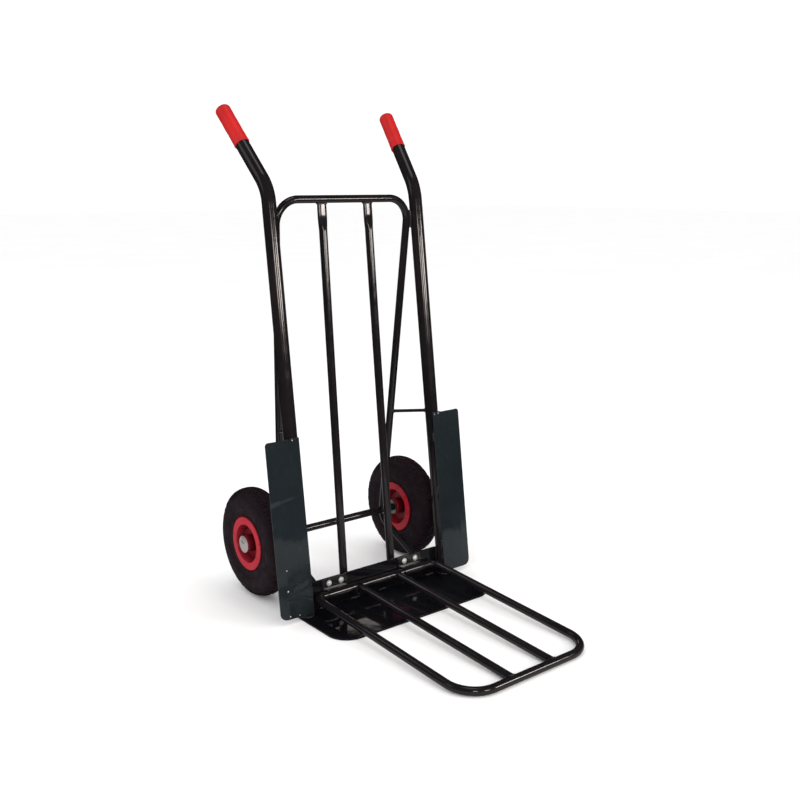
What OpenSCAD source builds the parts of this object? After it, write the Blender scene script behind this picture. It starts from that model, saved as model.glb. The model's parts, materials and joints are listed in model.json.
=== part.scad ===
// Two-wheeled hand truck with a fixed toe plate and a folding tube toe extension.
// Frame: +Z up, -Y towards the toe, +X across.
// Origin: on the floor, midway between the feet of the two side tubes.
// Left and right are as seen from the toe side, so the left pieces are at -X.
// Units: millimetres.

/* [Side tubes] */
// Outside diameter of the side tubes
tube_d = 32; // [31:0.5:32]
// Wall of the side tubes
tube_wall = 1.8; // [1.5:0.1:3]
// Distance between the side tubes' centre lines
tube_spacing = 412; // [412:1:416]
// Backward lean of the side tubes from vertical, degrees
lean = 7.3; // [6.5:0.1:8]
// Length of a side tube from the floor to its handle bend's corner
stem_len = 960; // [950:1:980]
// Handle bend, degrees
bend_angle = 33.2; // [28:0.2:36]
// Centre line radius of the handle bend
bend_radius = 100; // [80:1:120]
// Outward turn of the handle bend, degrees
handle_splay = 11.4; // [0:0.2:14]
// Length from the bend's corner to the tube's end
handle_len = 226; // [215:1:240]

/* [Grips] */
// Outside diameter of a grip
grip_d = 35; // [34.5:0.5:38]
// Length of a grip
grip_len = 104; // [90:1:120]

/* [Rear brace] */
// Outside diameter of the brace tube
brace_d = 18; // [16:0.5:18]
// Wall of the small tubes
small_wall = 1.5; // [1.2:0.1:2]
// Height of the crossbar's centre line
crossbar_z = 928; // [920:1:934]
// Distance of the crossbar behind the side tubes' feet
crossbar_y = 122.5; // [122:0.5:126]
// Half the distance between the brace's upper corners
brace_half = 187; // [185:0.5:187]
// Centre line radius of the upper corners
brace_corner_r = 55; // [45:1:60]
// Distance down a leg from upper to lower corner
brace_leg = 822; // [821:0.5:823]
// Centre line radius of the lower corners
brace_foot_r = 40; // [36:1:42]
// Lower corner bend, degrees
brace_foot_bend = 70.3; // [70:0.1:71]
// Diameter of the stay rods
stay_d = 8; // [6:0.5:10]

/* [Load bars] */
// Outside diameter of the vertical load bars
bar_d = 19; // [16:0.5:19]
// Half the distance between the load bars at the bottom
bar_half_low = 70.8; // [70:0.1:72]
// Half the distance between the load bars at the top
bar_half_top = 64.4; // [62:0.2:68]

/* [Toe plate] */
// Half the width of the toe plate
toe_half = 225; // [222:1:230]
// Reach of the toe plate in front of the side tubes
toe_reach = 166; // [150:1:180]
// Thickness of the toe plate
toe_t = 4; // [3:0.5:5]
// Radius of the toe plate's front corners
toe_corner_r = 50; // [30:1:60]
// Height of the cross plate's upper edge along the tubes
cross_h = 70; // [69:0.5:74]

/* [Wheel guards] */
// Inner edge of a guard, from the centre plane
guard_in = 195; // [193:1:198]
// Fold line of a guard, from the centre plane
guard_fold = 258; // [250:1:262]
// Width of the folded flange
guard_flange = 22.6; // [20:0.2:24]
// Backward fold of the flange, degrees
guard_angle = 8; // [4:0.5:12]
// Height of a guard's top edge along the tubes
guard_top = 411; // [380:1:420]
// Sheet thickness of a guard
guard_t = 2; // [1.5:0.1:2.5]

/* [Toe extension] */
// Outside diameter of the extension's tubes
ext_d = 18; // [18:0.5:18.5]
// Half the width of the extension, centre line to centre line
ext_half = 176.5; // [176:0.5:178.5]
// Length of the extension, hinge axis to front bar
ext_len = 518.7; // [500:0.1:520]
// Half the distance between the inner bars
ext_inner = 57.5; // [56:0.5:57.5]
// Centre line radius of the front corners
ext_front_r = 66; // [56:1:70]
// Centre line radius of the rear corners
ext_rear_r = 20; // [16:1:22]

/* [Hinge straps] */
// Centre of the left strap
strap_left_x = -117; // [-120:1:-115]
// Centre of the right strap
strap_right_x = 106; // [105:1:110]
// Sheet thickness of a strap
strap_t = 2.5; // [2:0.1:2.5]
// Distance between a strap's two bolts
bolt_pitch = 34; // [32:1:36]

/* [Wheels] */
// Outside diameter of a tyre
tyre_d = 260; // [256:1:260]
// Width of a tyre
tyre_w = 62; // [60:1:64]
// Wheel centre plane, from the centre plane of the truck
wheel_x = 222; // [221:0.5:224]
// Distance of the axle behind the side tubes' feet
axle_y = 187; // [186:0.5:188]
// Diameter of the axle rod
axle_d = 12; // [12:0.5:12.5]
// Diameter of an axle end cap
cap_d = 40; // [38:1:42]

/* [Hidden] */
$fn = 96;
gap = 0.05;            // clearance between fitted pieces
eps = 1;               // overrun of a cut
seam_h = 0.6;          // length of the sleeve over a tube's joint
seam_rise = 0.1;       // how much wider than the tube it is
hinge_fit = 0.06;      // radial clearance of the extension in its straps
leg_gap = 0.8;         // room between the axle's tubes and the sloping brace legs

paint = [0.07, 0.075, 0.08];
sheet_paint = [0.15, 0.17, 0.19];
red = [0.78, 0.06, 0.10];
zinc = [0.78, 0.79, 0.80];
steel = [0.55, 0.55, 0.57];
tyre_black = [0.05, 0.05, 0.055];

tube_r = tube_d / 2;
tube_x = tube_spacing / 2;
bend_run = bend_radius * tan(bend_angle / 2);
tube_straight = stem_len - bend_run;
handle_straight = handle_len - bend_run;

// Hinge axis, as distance behind and height along the leaning tubes
hinge_lean_y = 0.6;
hinge_lean_z = 34.4;
hinge_y = hinge_lean_y * cos(lean) + hinge_lean_z * sin(lean);
hinge_z = hinge_lean_z * cos(lean) - hinge_lean_y * sin(lean);
ext_r = ext_d / 2;
ext_drop = asin((hinge_z - ext_r) / ext_len);

// Cross plate, as distances behind the leaning tubes' centre lines
cross_front = 10;
cross_back = 15;
cross_half = tube_x - sqrt(tube_r * tube_r - cross_front * cross_front) - gap;

brace_r = brace_d / 2;
axle_z = tyre_d / 2;
brace_tilt = atan((axle_y - crossbar_y) / (crossbar_z - axle_z));
brace_in = 2.36;       // inward slope of a leg, degrees
corner_angle = 90 + brace_in;
corner_run = brace_corner_r * tan(corner_angle / 2);
foot_run = brace_foot_r * tan(brace_foot_bend / 2);
crossbar_straight = brace_half - corner_run;
leg_straight = brace_leg - corner_run - foot_run;
strut_len = 200;       // cut off at the cross plate
brace_low_x = brace_half - tan(brace_in) * (crossbar_z - axle_z);

// Lower cross tube that the load bars stand on
low_y = 43;
low_z = 43;
low_half = 141.5;
bar_back_low = 0.5;    // how far a load bar sits behind the tubes it joins
bar_back_top = 2;
bar_foot = [bar_half_low, low_y + bar_back_low, low_z];
bar_head = [bar_half_top, crossbar_y + bar_back_top, crossbar_z];
bar_flat_len = 36;
bar_flat_w = 23;
bar_flat_t = 10;

// Stay rod, from a brace leg to a side tube
stay_start = [166, 163, 396];
stay_end = [tube_x - 6, 64, 411];
stay_trim = [6.8, 4.2];

guard_low = 11;
guard_corner_top = 8;
guard_corner_low = 16;
toe_back = 24;

bolt_r = 4;
bolt_head_r = 7;
bolt_head_h = 5;
bolt_rim_h = 2;        // height of a bolt head's straight rim
bolt_ball_r = 10;      // radius of its domed top
bolt_tail = 3;         // thread past the nut
bolt_hole_r = bolt_r + 0.2;
bolt_lean_z = 58.5;
nut_r = 7;
nut_h = 6.5;
strap_flat_half = 35;
strap_wrap_half = 28;
strap_flat_low = 45;
strap_top = 68.5;

axle_r = axle_d / 2;
rim_r = 64.5;
rim_face = 28.5;
hub_r = 17.5;
hub_in = 35;
hub_out = 33;
boss_r = 19.5;          // radius of the rim's boss around the hub
boss_out = hub_out - 2;
bearing_r = 15;
bearing_w = 10;
hub_bore_r = 12;
tyre_mean_r = 98;
carcass_bore_r = 26;
tread_half = 25;
tread_corner = 13;
side_half = 27.5;       // half width of the sidewall next to the rim
side_corner = 5;
bead_r = 51;           // inner radius of the tyre's beads
bead_half = 23;
bead_gap_half = 14;
flange_depth = 5.2;     // thickness of the rim's flange under the tyre's edge
flange_gap = 0.3;
cap_x = wheel_x + hub_out + 0.6;
spacer_in = brace_low_x + brace_r + leg_gap;
spacer_out = wheel_x - hub_in - 0.5;
axle_end = cap_x + 2;

// ---------- shared shapes ----------

module leaning() {
    rotate([-lean, 0, 0]) children();
}

module on_both_sides() {
    children();
    mirror([1, 0, 0]) children();
}

// A straight run of tube along +Z; what follows starts at its end
module straight(d, h) {
    cylinder(d = d, h = h);
    translate([0, 0, h]) children();
}

// A hair-thin sleeve that ties a bend to its straight neighbour
module seam(d) {
    translate([0, 0, -seam_h / 2]) cylinder(d = d + seam_rise, h = seam_h);
}

// A bend from +Z towards +Y after a roll about Z; what follows starts at its end
module turn(d, r, roll, angle) {
    seam(d);
    rotate([0, 0, roll]) {
        translate([0, r, 0])
            rotate([90, 0, -90])
                rotate_extrude(angle = angle)
                    translate([r, 0])
                        circle(d = d);
        translate([0, r * (1 - cos(angle)), r * sin(angle)])
            rotate([-angle, 0, 0]) {
                seam(d);
                children();
            }
    }
}

// A cylinder between two points
module rod(a, b, d, trim = [0, 0]) {
    v = b - a;
    len = norm(v);
    translate(a)
        rotate([0, acos(v[2] / len), atan2(v[1], v[0])])
            translate([0, 0, trim[0]])
                cylinder(d = d, h = len - trim[0] - trim[1]);
}

// A turned shape on the X axis, from a profile of [radius, x]
module turned_on_x() {
    rotate([90, 0, 90]) rotate_extrude() children();
}

// ---------- side tubes and grips ----------

module side_tube_path(d) {
    straight(d, tube_straight)
        turn(d, bend_radius, -handle_splay, bend_angle)
            straight(d, handle_straight);
}

module side_tube() {
    difference() {
        translate([tube_x, 0, 0]) leaning() side_tube_path(tube_d);
        translate([tube_x, 0, 0]) leaning() side_tube_path(tube_d - 2 * tube_wall);
        translate([tube_x - tube_d, -tube_d, -tube_d])
            cube([2 * tube_d, 2 * tube_d, tube_d + toe_t]);
    }
}

module side_tube_left() {
    color(paint) mirror([1, 0, 0]) side_tube();
}

module side_tube_right() {
    color(paint) side_tube();
}

// Coordinates that start at the open end of a handle
module at_handle_end() {
    translate([tube_x, 0, 0])
        leaning()
            translate([0, 0, tube_straight])
                rotate([0, 0, -handle_splay])
                    translate([0, bend_radius * (1 - cos(bend_angle)), bend_radius * sin(bend_angle)])
                        rotate([-bend_angle, 0, 0])
                            translate([0, 0, handle_straight])
                                children();
}

module grip() {
    end_t = 3;
    round_r = 6;
    at_handle_end()
        rotate_extrude()
            difference() {
                union() {
                    translate([0, end_t - grip_len]) square([grip_d / 2, grip_len - round_r]);
                    translate([0, end_t - round_r - gap]) square([grip_d / 2 - round_r, round_r + gap]);
                    intersection() {
                        translate([grip_d / 2 - round_r, end_t - round_r]) circle(r = round_r);
                        translate([0, end_t - 2 * round_r]) square([grip_d, 2 * round_r]);
                    }
                }
                translate([-eps, -grip_len - eps]) square([tube_r + gap + eps, grip_len + eps + gap]);
            }
}

module grip_left() {
    color(red) mirror([1, 0, 0]) grip();
}

module grip_right() {
    color(red) grip();
}

// ---------- rear brace, load bars and stays ----------

module at_crossbar() {
    translate([0, crossbar_y, crossbar_z]) rotate([brace_tilt, 0, 0]) children();
}

module brace_leg_path(d) {
    at_crossbar()
        translate([crossbar_straight, 0, 0])
            rotate([0, 90, 0])
                turn(d, brace_corner_r, -90, corner_angle)
                    straight(d, leg_straight)
                        turn(d, brace_foot_r, -90, brace_foot_bend)
                            straight(d, strut_len);
}

module brace_path(d) {
    at_crossbar() rotate([0, 90, 0]) cylinder(d = d, h = 2 * crossbar_straight, center = true);
    on_both_sides() brace_leg_path(d);
}

module rear_brace() {
    color(paint)
        difference() {
            brace_path(brace_d);
            brace_path(brace_d - 2 * small_wall);
            leaning()
                translate([-tube_spacing, -tube_spacing, -tube_spacing / 2])
                    cube([2 * tube_spacing, tube_spacing + cross_back, tube_spacing]);
            translate([0, axle_y, axle_z])
                rotate([0, 90, 0])
                    cylinder(r = axle_r + gap, h = tube_spacing, center = true);
        }
}

module load_bar() {
    v = bar_head - bar_foot;
    len = norm(v);
    difference() {
        union() {
            rod(bar_foot, bar_head, bar_d, [0, brace_r + bar_flat_len - eps]);
            translate(bar_head)
                rotate([-atan2(v[1], v[2]), asin(v[0] / len), 0])
                    translate([0, 0, -brace_r - bar_flat_len])
                        linear_extrude(bar_flat_len + brace_r) {
                            square([bar_flat_w - bar_flat_t, bar_flat_t], center = true);
                            for (s = [-1, 1])
                                translate([s * (bar_flat_w - bar_flat_t) / 2, 0]) circle(d = bar_flat_t);
                        }
        }
        rod(bar_foot, bar_head, bar_d - 2 * small_wall, [-eps, brace_r + bar_flat_len]);
        translate([0, crossbar_y, crossbar_z])
            rotate([0, 90, 0])
                cylinder(d = brace_d + 2 * gap, h = tube_spacing, center = true);
        translate([0, low_y, low_z])
            rotate([0, 90, 0])
                cylinder(d = brace_d + 2 * gap, h = tube_spacing, center = true);
        translate([0, low_y - bar_d, low_z - bar_d]) cube([tube_spacing, 2 * bar_d, bar_d]);
    }
}

module load_bar_left() {
    color(paint) mirror([1, 0, 0]) load_bar();
}

module load_bar_right() {
    color(paint) load_bar();
}

module lower_cross_tube() {
    color(paint)
        translate([0, low_y, low_z])
            rotate([0, 90, 0])
                difference() {
                    cylinder(d = brace_d, h = 2 * low_half, center = true);
                    cylinder(d = brace_d - 2 * small_wall, h = 2 * low_half + eps, center = true);
                }
}

module stay() {
    rod(stay_start, stay_end, stay_d, stay_trim);
}

module stay_left() {
    color(paint) mirror([1, 0, 0]) stay();
}

module stay_right() {
    color(paint) stay();
}

// ---------- toe plate, cross plate and guards ----------

module toe_plate() {
    color(sheet_paint)
        linear_extrude(toe_t) {
            translate([-toe_half, toe_corner_r - toe_reach])
                square([2 * toe_half, toe_reach - toe_corner_r + toe_back]);
            translate([toe_corner_r - toe_half, -toe_reach])
                square([2 * (toe_half - toe_corner_r), toe_corner_r + eps]);
            for (s = [-1, 1])
                translate([s * (toe_half - toe_corner_r), toe_corner_r - toe_reach])
                    circle(r = toe_corner_r);
        }
}

module at_bolts() {
    for (x = [strap_left_x, strap_right_x])
        for (s = [-1, 1])
            translate([x + s * bolt_pitch / 2, 0, 0])
                leaning()
                    translate([0, cross_front, bolt_lean_z])
                        rotate([90, 0, 0])
                            children();
}

module cross_plate() {
    plate_low = 1;
    color(sheet_paint)
        difference() {
            leaning()
                translate([-cross_half, cross_front, plate_low])
                    cube([2 * cross_half, cross_back - cross_front, cross_h - plate_low]);
            translate([-tube_spacing, -tube_d, -tube_d])
                cube([2 * tube_spacing, 2 * tube_d, tube_d + toe_t]);
            at_bolts() cylinder(r = bolt_hole_r, h = tube_d, center = true);
        }
}

// Cross-section of a guard: a flat sheet whose outer strip is folded back.
// The strip runs past its edge, which guard_outline() cuts.
module guard_section() {
    half = guard_t / 2;
    mitre = half * tan(guard_angle / 2);
    strip = guard_flange + 2 * guard_t;
    across = half * [-sin(guard_angle), cos(guard_angle)];
    tip = [guard_fold + strip * cos(guard_angle), strip * sin(guard_angle)];
    polygon([
        [guard_in, -half], [guard_fold + mitre, -half], tip - across,
        tip + across, [guard_fold - mitre, half], [guard_in, half]
    ]);
}

// Outline of a guard from the front, with two rounded outer corners
module guard_outline() {
    w = guard_fold + guard_flange * cos(guard_angle) - guard_in;
    h = guard_top - guard_low;
    translate([guard_in, 0]) {
        translate([-eps, -eps]) square([w + eps - guard_corner_low, h + 2 * eps]);
        translate([0, guard_corner_low])
            square([w, h - guard_corner_low - guard_corner_top]);
        translate([0, guard_corner_low]) square([w - guard_corner_top, h + eps - guard_corner_low]);
        translate([w - guard_corner_low, guard_corner_low]) circle(r = guard_corner_low);
        translate([w - guard_corner_top, h - guard_corner_top]) circle(r = guard_corner_top);
    }
}

module guard() {
    sheet_y = -tube_r - gap - guard_t / 2;
    leaning()
        translate([0, sheet_y, guard_low])
            intersection() {
                linear_extrude(guard_top - guard_low) guard_section();
                rotate([90, 0, 0])
                    linear_extrude(2 * guard_flange, center = true) guard_outline();
            }
}

module guard_left() {
    color(sheet_paint) mirror([1, 0, 0]) guard();
}

module guard_right() {
    color(sheet_paint) guard();
}

// ---------- toe extension and its hinge ----------

// Coordinates that start on the hinge axis, +X along it and -Y along the extension
module at_hinge() {
    translate([0, hinge_y, hinge_z]) rotate([ext_drop, 0, 0]) children();
}

module ext_corner(x, y, r, from, d) {
    translate([x, y, 0])
        rotate([0, 0, from])
            rotate_extrude(angle = 90)
                translate([r, 0])
                    circle(d = d);
}

module ext_loop_path(d) {
    rear_x = ext_half - ext_rear_r;
    front_x = ext_half - ext_front_r;
    leg = ext_len - ext_rear_r - ext_front_r;
    rotate([0, 90, 0]) cylinder(d = d, h = 2 * rear_x, center = true);
    translate([0, -ext_len, 0]) rotate([0, 90, 0]) cylinder(d = d, h = 2 * front_x, center = true);
    for (s = [-1, 1])
        translate([s * ext_half, -ext_rear_r, 0]) rotate([90, 0, 0]) cylinder(d = d, h = leg);
    ext_corner(rear_x, -ext_rear_r, ext_rear_r, 0, d);
    ext_corner(-rear_x, -ext_rear_r, ext_rear_r, 90, d);
    ext_corner(-front_x, ext_front_r - ext_len, ext_front_r, 180, d);
    ext_corner(front_x, ext_front_r - ext_len, ext_front_r, 270, d);
}

module toe_loop() {
    color(paint)
        at_hinge()
            difference() {
                ext_loop_path(ext_d);
                ext_loop_path(ext_d - 2 * small_wall);
            }
}

module inner_bar(x) {
    at_hinge()
        difference() {
            translate([x, 0, 0]) rotate([90, 0, 0]) cylinder(d = ext_d, h = ext_len);
            translate([x, eps, 0])
                rotate([90, 0, 0])
                    cylinder(d = ext_d - 2 * small_wall, h = ext_len + 2 * eps);
            for (y = [0, -ext_len])
                translate([x, y, 0])
                    rotate([0, 90, 0])
                        cylinder(d = ext_d + 2 * gap, h = 2 * ext_d, center = true);
        }
}

module inner_bar_left() {
    color(paint) inner_bar(-ext_inner);
}

module inner_bar_right() {
    color(paint) inner_bar(ext_inner);
}

// A strap wraps the front of the extension's rear bar and bolts to the cross plate
module hinge_strap(x) {
    bore = ext_r + hinge_fit;
    out = bore + strap_t;
    reach = cross_front - hinge_lean_y - gap;
    difference() {
        translate([x, 0, 0])
            leaning() {
                translate([0, hinge_lean_y, hinge_lean_z])
                    rotate([90, 0, 90])
                        linear_extrude(2 * strap_wrap_half, center = true)
                            difference() {
                                union() {
                                    circle(r = out);
                                    translate([0, -out]) square([reach, 2 * out]);
                                }
                                circle(r = bore);
                                translate([0, -bore]) square([2 * out, 2 * bore]);
                                translate([reach, -2 * out]) square([out, 4 * out]);
                            }
                translate([-strap_flat_half, cross_front - gap - strap_t, strap_flat_low])
                    cube([2 * strap_flat_half, strap_t, strap_top - strap_flat_low]);
            }
        at_bolts() cylinder(r = bolt_hole_r, h = tube_d, center = true);
    }
}

module hinge_strap_left() {
    color(paint) hinge_strap(strap_left_x);
}

module hinge_strap_right() {
    color(paint) hinge_strap(strap_right_x);
}

module hinge_bolts() {
    seat = strap_t + 2 * gap;
    tail = cross_back - cross_front + nut_h + bolt_tail;
    color(zinc)
        at_bolts() {
            translate([0, 0, -tail]) cylinder(r = bolt_r, h = tail + seat + eps);
            translate([0, 0, seat]) {
                cylinder(r = bolt_head_r, h = bolt_rim_h);
                intersection() {
                    cylinder(r = bolt_head_r, h = bolt_head_h);
                    translate([0, 0, bolt_head_h - bolt_ball_r]) sphere(r = bolt_ball_r);
                }
            }
        }
}

module hinge_nuts() {
    color(zinc)
        at_bolts()
            translate([0, 0, cross_front - cross_back - gap - nut_h])
                difference() {
                    cylinder(r = nut_r, h = nut_h, $fn = 6);
                    translate([0, 0, -eps]) cylinder(r = bolt_r + gap, h = nut_h + 2 * eps, $fn = 48);
                }
}

// ---------- axle ----------

module at_axle() {
    translate([0, axle_y, axle_z]) children();
}

module axle_rod() {
    color(steel)
        at_axle() rotate([0, 90, 0]) cylinder(r = axle_r, h = 2 * axle_end, center = true);
}

module axle_tube() {
    tube_half = brace_low_x - brace_r - leg_gap;
    color(paint)
        at_axle()
            rotate([0, 90, 0])
                difference() {
                    cylinder(d = brace_d, h = 2 * tube_half, center = true);
                    cylinder(r = axle_r + gap, h = 2 * tube_half + eps, center = true);
                }
}

module axle_spacers() {
    color(paint)
        on_both_sides()
            at_axle()
                translate([spacer_in, 0, 0])
                    rotate([0, 90, 0])
                        difference() {
                            cylinder(d = brace_d, h = spacer_out - spacer_in);
                            translate([0, 0, -eps])
                                cylinder(r = axle_r + gap, h = spacer_out - spacer_in + 2 * eps);
                        }
}

// A domed cap with one slot across its face, above the middle
module axle_cap() {
    edge = 1.6;
    dome = 4.4;
    slot_w = 3;
    slot_len = 17;
    slot_start = -6;
    slot_rise = 5.7;
    slot_depth = 1.6;
    slot_turn = 16;
    cap_r = cap_d / 2;
    ball_r = (cap_r * cap_r + (dome - edge) * (dome - edge)) / (2 * (dome - edge));
    at_axle()
        translate([cap_x, 0, 0])
            difference() {
                turned_on_x() {
                    square([cap_r, edge]);
                    intersection() {
                        translate([0, dome - ball_r]) circle(r = ball_r, $fn = 360);
                        translate([0, edge / 2]) square([cap_r, dome]);
                    }
                }
                rotate([0, 90, 0])
                    translate([0, 0, -eps])
                        cylinder(r = axle_r + gap, h = axle_end - cap_x + eps + gap);
                translate([dome - slot_depth, 0, 0])
                    rotate([slot_turn, 0, 0])
                        translate([0, slot_start, slot_rise - slot_w / 2])
                            cube([dome, slot_len, slot_w]);
            }
}

module axle_cap_left() {
    color(zinc) mirror([1, 0, 0]) axle_cap();
}

module axle_cap_right() {
    color(zinc) axle_cap();
}

// ---------- wheels ----------

module at_wheel() {
    translate([wheel_x, axle_y, axle_z]) children();
}

module tyre() {
    r_out = tyre_d / 2;
    flange_r = rim_r + flange_gap;
    flange_x = rim_face - flange_depth;
    at_wheel()
        turned_on_x()
            difference() {
                union() {
                    translate([tyre_mean_r, 0]) circle(d = tyre_w);
                    translate([tyre_mean_r, -tread_half]) {
                        square([r_out - tread_corner - tyre_mean_r, 2 * tread_half]);
                        translate([0, tread_corner])
                            square([r_out - tyre_mean_r, 2 * (tread_half - tread_corner)]);
                    }
                    translate([flange_r + side_corner, -side_half])
                        square([tyre_mean_r - flange_r - side_corner, 2 * side_half]);
                    translate([flange_r, side_corner - side_half])
                        square([tyre_mean_r - flange_r, 2 * (side_half - side_corner)]);
                    for (s = [-1, 1]) {
                        translate([r_out - tread_corner, s * (tread_half - tread_corner)])
                            circle(r = tread_corner);
                        translate([flange_r + side_corner, s * (side_half - side_corner)])
                            circle(r = side_corner);
                    }
                    translate([bead_r, -bead_half]) square([tyre_mean_r - bead_r, 2 * bead_half]);
                }
                translate([tyre_mean_r, 0]) circle(r = carcass_bore_r);
                translate([bead_r - eps, -bead_gap_half])
                    square([tyre_mean_r - bead_r, 2 * bead_gap_half]);
                translate([bead_r - eps, flange_x]) square([flange_r - bead_r + eps, tyre_w]);
                translate([bead_r - eps, -flange_x - tyre_w])
                    square([flange_r - bead_r + eps, tyre_w]);
            }
}

module inner_tube() {
    wall = 2;
    at_wheel()
        turned_on_x()
            difference() {
                translate([tyre_mean_r, 0]) circle(r = carcass_bore_r - 0.5);
                translate([tyre_mean_r, 0]) circle(r = carcass_bore_r - 0.5 - wall);
            }
}

// The outer half of a two-piece dished rim
module rim_half() {
    turned_on_x()
        polygon([
            [hub_r + gap, gap], [50.5, gap], [50.5, 23], [52, 23.4], [62, 23.4], [64, 24.6],
            [rim_r, 26.2], [64, 27.6], [62, rim_face], [46.8, rim_face], [45.8, 27.9],
            [45.2, 26.4], [38, 9.5], [36, 7.4], [boss_r + 3, 6.6], [boss_r + 1, 8],
            [boss_r, boss_out - 1], [boss_r - 0.8, boss_out], [hub_r + gap, boss_out]
        ]);
}

module rim_outer() {
    at_wheel() rim_half();
}

module rim_inner() {
    at_wheel() mirror([1, 0, 0]) rim_half();
}

module hub() {
    at_wheel()
        rotate([0, 90, 0])
            difference() {
                translate([0, 0, -hub_in]) cylinder(r = hub_r, h = hub_in + hub_out);
                translate([0, 0, -hub_in - eps]) cylinder(r = hub_bore_r, h = hub_in + hub_out + 2 * eps);
                translate([0, 0, -hub_in - eps]) cylinder(r = bearing_r + gap, h = bearing_w + eps);
                translate([0, 0, hub_out - bearing_w])
                    cylinder(r = bearing_r + gap, h = bearing_w + eps);
            }
}

module bearings() {
    race = 2.2;
    shield = 1;
    at_wheel()
        for (x = [-hub_in + bearing_w / 2, hub_out - bearing_w / 2])
            translate([x, 0, 0])
                turned_on_x()
                    difference() {
                        translate([axle_r + gap, -bearing_w / 2 + gap])
                            square([bearing_r - axle_r - gap, bearing_w - 2 * gap]);
                        for (s = [-1, 1])
                            translate([axle_r + gap + race, s * bearing_w / 2 - shield / 2])
                                square([bearing_r - axle_r - gap - 2 * race, shield]);
                    }
}

module tyre_left() {
    color(tyre_black) mirror([1, 0, 0]) tyre();
}

module tyre_right() {
    color(tyre_black) tyre();
}

module inner_tube_left() {
    color(tyre_black) mirror([1, 0, 0]) inner_tube();
}

module inner_tube_right() {
    color(tyre_black) inner_tube();
}

module rim_outer_left() {
    color(red) mirror([1, 0, 0]) rim_outer();
}

module rim_outer_right() {
    color(red) rim_outer();
}

module rim_inner_left() {
    color(red) mirror([1, 0, 0]) rim_inner();
}

module rim_inner_right() {
    color(red) rim_inner();
}

module hub_left() {
    color(steel) mirror([1, 0, 0]) hub();
}

module hub_right() {
    color(steel) hub();
}

module bearings_left() {
    color(steel) mirror([1, 0, 0]) bearings();
}

module bearings_right() {
    color(steel) bearings();
}

// ---------- nodes ----------

side_tube_left();
side_tube_right();
grip_left();
grip_right();
rear_brace();
load_bar_left();
load_bar_right();
lower_cross_tube();
stay_left();
stay_right();
toe_plate();
cross_plate();
guard_left();
guard_right();
toe_loop();
inner_bar_left();
inner_bar_right();
hinge_strap_left();
hinge_strap_right();
hinge_bolts();
hinge_nuts();
axle_rod();
axle_tube();
axle_spacers();
axle_cap_left();
axle_cap_right();
tyre_left();
inner_tube_left();
rim_outer_left();
rim_inner_left();
hub_left();
bearings_left();
tyre_right();
inner_tube_right();
rim_outer_right();
rim_inner_right();
hub_right();
bearings_right();
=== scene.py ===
import json
import math

import bmesh
import bpy
from mathutils import Matrix, Vector, noise


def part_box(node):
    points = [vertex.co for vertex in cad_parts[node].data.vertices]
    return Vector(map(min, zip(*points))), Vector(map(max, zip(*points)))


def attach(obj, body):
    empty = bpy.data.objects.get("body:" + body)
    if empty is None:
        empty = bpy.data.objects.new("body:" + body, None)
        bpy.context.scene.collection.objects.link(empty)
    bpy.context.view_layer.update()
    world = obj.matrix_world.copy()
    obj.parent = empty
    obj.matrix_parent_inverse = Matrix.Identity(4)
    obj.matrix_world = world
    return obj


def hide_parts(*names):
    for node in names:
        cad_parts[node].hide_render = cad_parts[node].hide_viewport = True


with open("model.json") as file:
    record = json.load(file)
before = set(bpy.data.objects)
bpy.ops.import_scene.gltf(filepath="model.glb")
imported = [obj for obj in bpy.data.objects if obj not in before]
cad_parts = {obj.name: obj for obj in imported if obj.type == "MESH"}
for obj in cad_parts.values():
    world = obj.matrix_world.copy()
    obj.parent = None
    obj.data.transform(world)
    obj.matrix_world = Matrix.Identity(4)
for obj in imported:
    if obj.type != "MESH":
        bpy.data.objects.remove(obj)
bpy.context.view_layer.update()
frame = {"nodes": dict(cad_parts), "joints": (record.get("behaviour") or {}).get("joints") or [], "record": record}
nodes = frame["nodes"]
SIDES = (("left", -1), ("right", 1))


# ---------- places, some read from the CAD model, the rest given as numbers ---

def centre(node):
    """The middle of a CAD node's box."""
    lo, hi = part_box(node)
    return (lo + hi) / 2


def points(node):
    """A CAD node's vertices."""
    return [v.co.copy() for v in nodes[node].data.vertices]


hinge = Vector(next(j["pos_m"] for j in frame["joints"] if j["name"] == "toe_extension_fold"))
tyre_lo, tyre_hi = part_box("tyre_right")
WHEEL = (tyre_lo + tyre_hi) / 2
TYRE_R = (tyre_hi.y - tyre_lo.y) / 2 + 0.0001
TYRE_W = tyre_hi.x - tyre_lo.x
rim_lo, rim_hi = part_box("rim_outer_right")
RIM_R = (rim_hi.z - rim_lo.z) / 2
LEAN = math.radians(7.3)            # backward lean of the side tubes
HANDLE_BEND = math.radians(33.2)
HANDLE_SPLAY = math.radians(11.4)
BRACE_R = 0.009
EXT_LEN = 0.5187                    # hinge axis to the extension's front bar
EXT_R = 0.009
EXT_INNER = 0.0575                  # half the distance between its inner bars
CROSSBAR = Vector((0, 0.1225, 0.928))
BAR_FOOT = Vector((0.0708, 0.0435, 0.043))
BAR_HEAD = Vector((0.0644, 0.1245, 0.928))
STAY_START = Vector((0.166, 0.163, 0.396))
X = Vector((1, 0, 0))
Z = Vector((0, 0, 1))
UP = Vector((0, math.sin(LEAN), math.cos(LEAN)))
FRONT = Vector((0, -math.cos(LEAN), math.sin(LEAN)))
TUBE_R = 0.016
TUBE_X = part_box("cross_plate")[1].x + 0.0125


def on_lean(x, back, up):
    """A point on the leaning frame: x across, back behind the side tubes' centre plane, up along them."""
    return Vector((x, 0, 0)) - FRONT * back + UP * up


# ---------- materials ----------

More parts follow.
